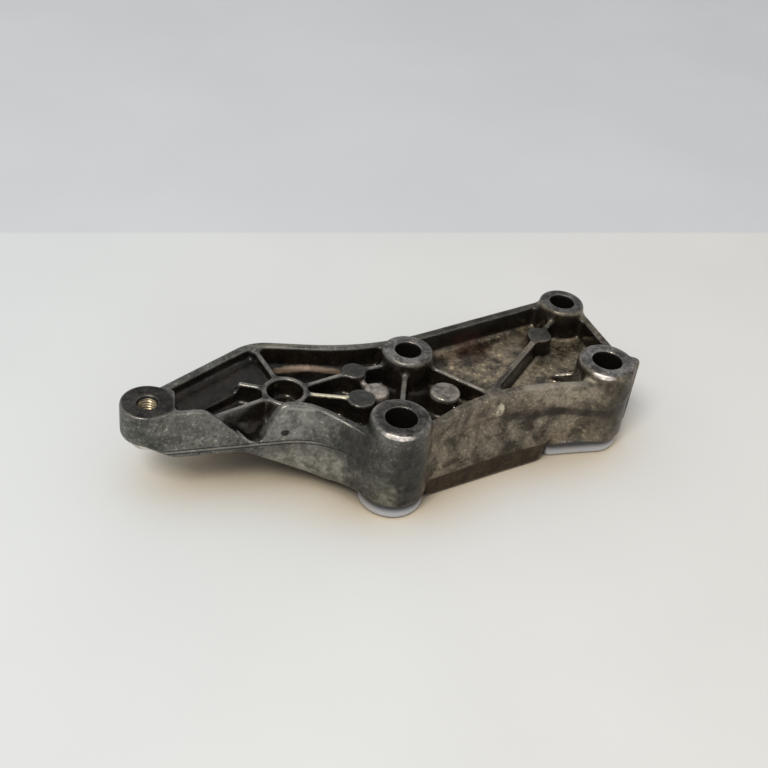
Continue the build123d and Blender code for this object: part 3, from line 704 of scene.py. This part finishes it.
TOP_FACE = (34.55, 0.15)
FACE_REACH = (12.0, 0.3)
BOLT_SEAT = (8.8, 1.8)
ARM_SEAT = (8.2, 1.4)
DULL_STRENGTH = 0.45
FOOT_TOP = (5.75, 0.15)
FOOT_SHADE = (3.2, 1.6)
LARGE_FOOT = (11.1, 0.3)
SMALL_FOOT = (9.3, 0.3)
PAD_FOOT_EDGES = (63.4, 64.0)
FOOT_STRENGTH = 0.9


def machined_faces(skin, colour):
    """Milled faces of the bosses, darker where a screw's head pressed, and the milled feet: bluish,
    with a painted reflection near the table and painted shade under the skirt above it. Returns the
    colour and the mask of the top faces."""
    tree = skin.tree
    top_face = skin.both(skin.upward, skin.outside(skin.below(skin.z, *TOP_FACE)))
    bolted = skin.either(skin.axes(LARGE_HOLES[:1], *BOLT_SEAT), skin.axes((ARM_HOLE,), *ARM_SEAT))
    machined = skin.tones(MACHINED_SKIN)
    seated = blend(tree, 1.0, machined, SEATED_SHADE, "MULTIPLY")
    colour = blend(tree, top_face, colour, blend(tree, bolted, machined, seated))
    dull = skin.either(skin.axes((ARM_HOLE,), *FACE_REACH), skin.axes(SMALL_HOLES[1:], *FACE_REACH))
    colour = skin.cover(colour, skin.both(top_face, dull), DULL_STRENGTH, HOLE_DIRT)
    columns = skin.either(skin.axes(LARGE_HOLES, *LARGE_FOOT), skin.axes(SMALL_HOLES, *SMALL_FOOT))
    pad_foot = ramp(tree, skin.x, *[edge * MM for edge in PAD_FOOT_EDGES])
    feet = skin.both(skin.below(skin.z, *FOOT_TOP), skin.either(columns, pad_foot))
    # painted shade high on the feet, painted reflection near the table
    foot = blend(tree, skin.below(skin.z, *FOOT_SHADE), FOOT_PAINTED_SHADE, FOOT_BRIGHT_REFLECTION)
    return skin.cover(colour, feet, FOOT_STRENGTH, foot), top_face


EDGE_DISTANCE = 1.1
EDGE_SAMPLES = 8
EDGE_OPENNESS = (0.88, 0.68)
EDGE_PATCHES = (0.24, 0.50)
EDGE_STRENGTH = 0.9
LARGE_BORE = (5.45, 0.2)
SMALL_BORE = (4.7, 0.2)
ARM_BORE = (3.5, 0.3)


def worn_edges_and_highlights(skin, colour, patchy):
    """Edges rubbed bare in patches, lightened also as a painted highlight, and dirt with painted
    shade in the bores. Returns the colour and the mask of the edges."""
    tree = skin.tree
    edges = ramp(tree, skin.openness(EDGE_DISTANCE, EDGE_SAMPLES, inside=True), *EDGE_OPENNESS)
    worn_and_highlit = skin.both(edges, ramp(tree, patchy, *EDGE_PATCHES))
    # painted highlight with wear on the convex edges
    colour = skin.cover(colour, worn_and_highlit, EDGE_STRENGTH, WORN_EDGE_HIGHLIGHT)
    # dirt and painted shade inside the bores
    bores_dirt_and_shade = skin.either(skin.axes(LARGE_HOLES, *LARGE_BORE), skin.axes(SMALL_HOLES, *SMALL_BORE))
    bores_dirt_and_shade = skin.either(bores_dirt_and_shade, skin.axes((ARM_HOLE,), *ARM_BORE))
    return blend(tree, bores_dirt_and_shade, colour, HOLE_DIRT), worn_and_highlit


LOWER_LINE = (19.45, 19.95)
UPPER_LINE = (20.7, 21.1)
LOWER_LINE_END = (-13.0, 3.0)
UPPER_LINE_END = (-22.0, 3.0)
LINE_FAR = (28.0, 0.5)
LINE_STRENGTH = 0.75
STRIP_STRENGTH = 0.15


def parting_lines(skin, colour):
    """Dirt and painted shade in a double line where the two halves of the die met, along the near
    left wall. The strip between the lines is a little worn and lighter, a painted highlight. Returns
    the colour and the mask of the lines."""
    near_left = skin.both(skin.below(skin.x, *LOWER_LINE_END), skin.below(skin.y, *LINE_FAR))
    arm_half = skin.both(near_left, skin.below(skin.x, *UPPER_LINE_END))
    lower = skin.both(near_left, skin.between(*LOWER_LINE))
    upper = skin.both(arm_half, skin.between(*UPPER_LINE))
    lines = skin.either(lower, upper)
    # dirt and painted shade in the groove of the lines
    colour = skin.cover(colour, lines, LINE_STRENGTH, SPOT_DIRT)
    # painted highlight with wear on the strip between the lines
    highlit_strip = skin.both(arm_half, skin.between(LOWER_LINE[1], UPPER_LINE[0]))
    return skin.cover(colour, highlit_strip, STRIP_STRENGTH, WORN_EDGE_HIGHLIGHT), lines


PATCHY_NOISE = (130.0, 5.0)
CLEAN_METAL = 0.75
DIRTY_METAL = 0.55
BARE_METAL = 0.9
ROUGH_PATCHES = (0.35, 0.65)
SKIN_ROUGHNESS = (0.36, 0.54)
RUBBED_LESS = 0.22
BUMP_STRENGTH = 0.8
BUMP_HEIGHT = 0.16
LINE_DEPTH = 1.5


def weathered_skin():
    """Cast skin in mottled grey and brown, oily hollows with painted shade, worn edges with painted
    highlights, and machined faces, smoother where it is oily or rubbed, with a sandy grain and the
    groove of the parting lines."""
    paint = bpy.data.materials.new("weathered cast skin")
    paint.use_nodes = True
    tree = paint.node_tree
    shader = tree.nodes["Principled BSDF"]
    skin = SkinTree(tree)
    patchy = noise(tree, skin.place, *PATCHY_NOISE)

    colour, grime_and_shade = tray_dirt_and_shade(skin, cast_tones(skin))
    colour = marks_and_streaks(skin, rib_tops(skin, colour))
    colour, top_face = machined_faces(skin, colour)
    colour, worn_and_highlit = worn_edges_and_highlights(skin, colour, patchy)
    colour, lines = parting_lines(skin, colour)
    wire(tree, colour, shader.inputs["Base Color"])

    metal = ramp(tree, grime_and_shade, 0.0, 1.0, CLEAN_METAL, DIRTY_METAL)
    bare = sums(tree, "MULTIPLY", skin.either(top_face, worn_and_highlit), BARE_METAL)
    wire(tree, skin.either(metal, bare), shader.inputs["Metallic"])
    rough = ramp(tree, patchy, *ROUGH_PATCHES, *SKIN_ROUGHNESS)
    rubbed = sums(tree, "MULTIPLY", skin.either(worn_and_highlit, grime_and_shade), RUBBED_LESS)
    wire(tree, sums(tree, "SUBTRACT", rough, rubbed), shader.inputs["Roughness"])
    grain = use_group(tree, grain_height, Place=skin.place)["Height"]
    bump = node(tree, "ShaderNodeBump")
    bump.inputs["Strength"].default_value = BUMP_STRENGTH
    bump.inputs["Distance"].default_value = BUMP_HEIGHT * MM
    groove = sums(tree, "MULTIPLY", lines, LINE_DEPTH)
    wire(tree, sums(tree, "SUBTRACT", grain, groove), bump.inputs["Height"])
    wire(tree, bump.outputs["Normal"], shader.inputs["Normal"])
    return paint


casting = cast_copy("weathered_casting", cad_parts["bracket_casting"])
casting.data.materials.clear()
casting.data.materials.append(weathered_skin())
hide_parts("bracket_casting")
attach(casting, "root")

# Arm thread: M6 with a pitch of 1 mm, cut through the boss at the arm's end. Its ridges stand
# inward from the wall of the hole, down from the countersink.
THREAD_OUTER = 3.0
THREAD_INNER = 2.5
THREAD_PITCH = 1.0
THREAD_LOW = 22.7
THREAD_HIGH = 33.7
THREAD_AROUND = 72
THREAD_ROWS_PER_PITCH = 12
THREAD_SEAT_GAP = 0.02
THREAD_CREST = 1.25
THREAD_FLANK = 2.5
THREAD_FADE = 0.6
THREAD_GLEAM_AND_DIRT = ((0.60, 0.50, 0.33, 1), (0.16, 0.13, 0.09, 1), 500.0, 1500.0, 0.3)
THREAD_METAL = 0.8
THREAD_ROUGHNESS = 0.35


def helical_thread(name):
    """Grid of angle and height facing the axis. A wave climbs one pitch per turn, and the radius
    is the outer one less a ridge: a clipped triangle of that wave, which fades at both ends."""
    rows = round((THREAD_HIGH - THREAD_LOW) / THREAD_PITCH * THREAD_ROWS_PER_PITCH) + 1
    around = np.linspace(0, 2 * np.pi, THREAD_AROUND, endpoint=False)
    angle, z = np.meshgrid(around, np.linspace(THREAD_LOW, THREAD_HIGH, rows))
    wave = np.mod(z / THREAD_PITCH - angle / (2 * np.pi), 1.0)
    ridge = np.clip(THREAD_CREST - THREAD_FLANK * np.abs(wave - 0.5), 0.0, 1.0)
    from_end = np.minimum(z - THREAD_LOW, THREAD_HIGH - z)
    fade = np.clip(from_end / (THREAD_FADE * THREAD_PITCH), 0.0, 1.0)
    radius = THREAD_OUTER - THREAD_SEAT_GAP - (THREAD_OUTER - THREAD_INNER) * ridge * fade
    x = ARM_HOLE[0] + radius * np.cos(angle)
    y = ARM_HOLE[1] + radius * np.sin(angle)
    points = np.stack([x, y, z], axis=-1)
    index = np.arange(angle.size).reshape(angle.shape)
    after = np.roll(index, -1, axis=1)
    quads = np.stack([index[:-1], index[1:], after[1:], after[:-1]], axis=-1).reshape(-1, 4)
    mesh = bpy.data.meshes.new(name)
    mesh.from_pydata((points.reshape(-1, 3) * MM).tolist(), [], quads.tolist())
    mesh.shade_smooth()
    return bpy.data.objects.new(name, mesh)


def thread_metal():
    """Cut thread: oily metal, its golden grey a painted gleam of warm light, with dirt in patches."""
    metal = bpy.data.materials.new("cut thread")
    metal.use_nodes = True
    tree = metal.node_tree
    shader = tree.nodes["Principled BSDF"]
    shader.inputs["Metallic"].default_value = THREAD_METAL
    shader.inputs["Roughness"].default_value = THREAD_ROUGHNESS
    place = node(tree, "ShaderNodeTexCoord").outputs["Object"]
    wire(tree, tones(tree, place, *THREAD_GLEAM_AND_DIRT), shader.inputs["Base Color"])
    return metal


thread = helical_thread("arm_thread")
scene.collection.objects.link(thread)
thread.data.materials.append(thread_metal())
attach(thread, "root")
